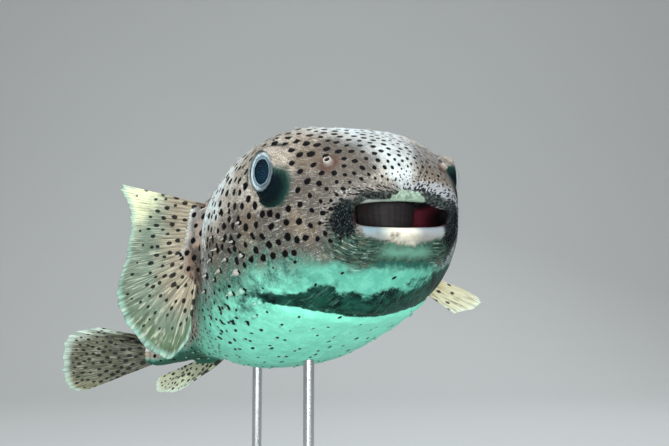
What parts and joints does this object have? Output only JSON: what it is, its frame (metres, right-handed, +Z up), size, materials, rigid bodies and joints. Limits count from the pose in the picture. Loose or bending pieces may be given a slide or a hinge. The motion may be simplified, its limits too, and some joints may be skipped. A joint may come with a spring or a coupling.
{
  "type": "porcupinefish display model",
  "caption": "Life-size still model of a spotted porcupinefish swimming with its tail curled to one side, held on a plain flat base by short metal rods.",
  "frame": {"origin": "centre of the display base's underside, on the floor", "axes": "+Z up; -Y the way the head points; +X the fish's left"},
  "size_m": [0.3084, 0.4233, 0.322],
  "materials": {
    "skin": "satin, tan over a pale mint belly, with near-black spots and small folded spines",
    "fin": "satin, thin rayed membrane with rows of dark spots",
    "eye": "wet gloss, navy pupil in a silvery ring",
    "tooth": "worn satin grey",
    "stand_wood": "dark satin lacquer",
    "stand_steel": "brushed"
  },
  "bodies": {
    "root": {"head": "skin", "trunk": "skin", "tail_stalk": "skin", "nostril_left": "skin", "nostril_right": "skin", "lip_upper": "skin", "lip_lower": "skin", "fin_pectoral_left": "fin", "fin_pectoral_right": "fin", "fin_dorsal": "fin", "fin_anal": "fin", "fin_caudal": "fin", "eye_left": "eye", "eye_right": "eye", "tooth_plate_upper": "tooth", "tooth_plate_lower": "tooth", "stand_base": "stand_wood", "stand_rod_front": "stand_steel", "stand_rod_rear": "stand_steel"}
  },
  "joints": []
}
